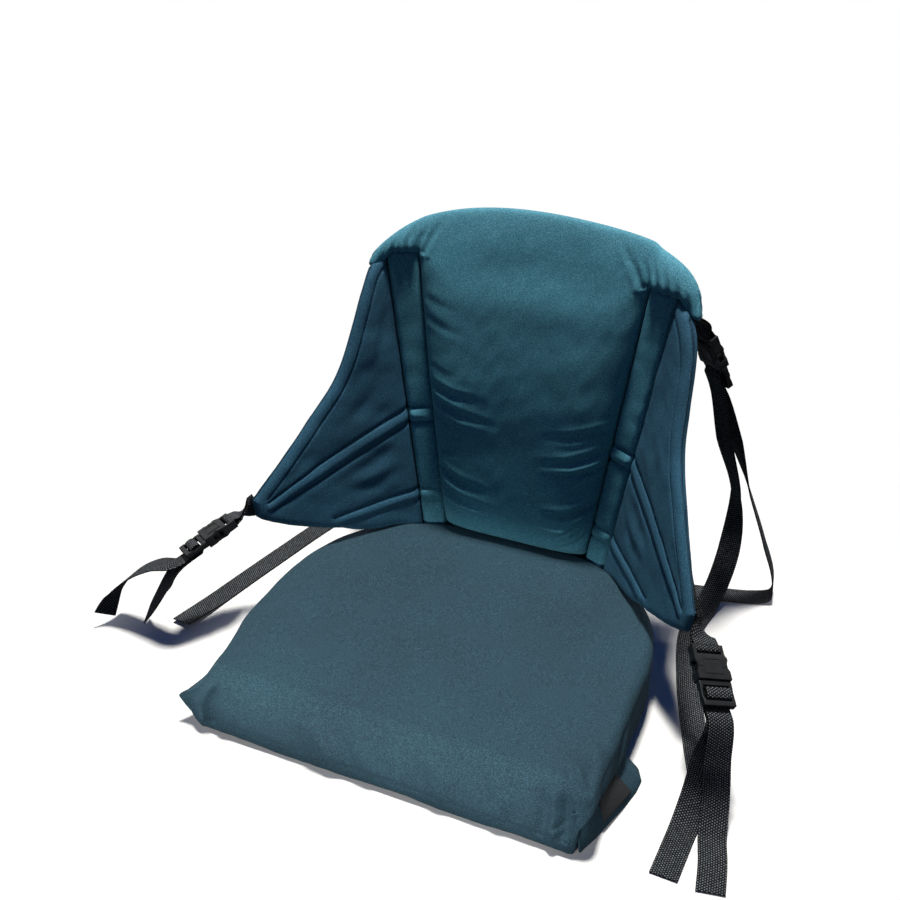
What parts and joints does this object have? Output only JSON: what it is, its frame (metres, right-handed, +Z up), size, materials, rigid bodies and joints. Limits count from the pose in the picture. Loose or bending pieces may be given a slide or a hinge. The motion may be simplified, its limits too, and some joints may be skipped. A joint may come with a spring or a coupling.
{
  "type": "kayak seat",
  "caption": "Soft kayak seat with a boxy foam cushion, a padded back with forward wings, and buckled webbing straps for tying it into a boat.",
  "frame": {"origin": "centre of the cushion's underside, on the surface that the seat stands on", "axes": "+Z up, -Y the way the sitter faces, X across the seat"},
  "size_m": [0.7244, 0.4688, 0.42],
  "materials": {
    "seat_cloth": "woven polyester",
    "back_cloth": "woven polyester",
    "foam": "closed-cell foam",
    "webbing": "ribbed webbing",
    "hook_tape": "hook tape",
    "buckle_plastic": "satin moulded"
  },
  "bodies": {
    "root": {"seat_foam": "foam", "seat_cover": "seat_cloth", "mouth_tape": "hook_tape", "joint_band": "back_cloth", "back_pad": "back_cloth", "strip_left": "back_cloth", "strip_right": "back_cloth", "wing_left": "back_cloth", "wing_right": "back_cloth", "rear_panel": "back_cloth", "upper_belt": "webbing", "lower_belt": "webbing", "front_tab_left": "webbing", "front_socket_left": "buckle_plastic", "front_plug_left": "buckle_plastic", "front_strap_left": "webbing", "front_tab_right": "webbing", "front_socket_right": "buckle_plastic", "front_plug_right": "buckle_plastic", "front_strap_right": "webbing", "rear_tab_left": "webbing", "rear_socket_left": "buckle_plastic", "rear_plug_left": "buckle_plastic", "rear_strap_left": "webbing", "rear_tab_right": "webbing", "rear_socket_right": "buckle_plastic", "rear_plug_right": "buckle_plastic", "rear_strap_right": "webbing"}
  },
  "joints": []
}
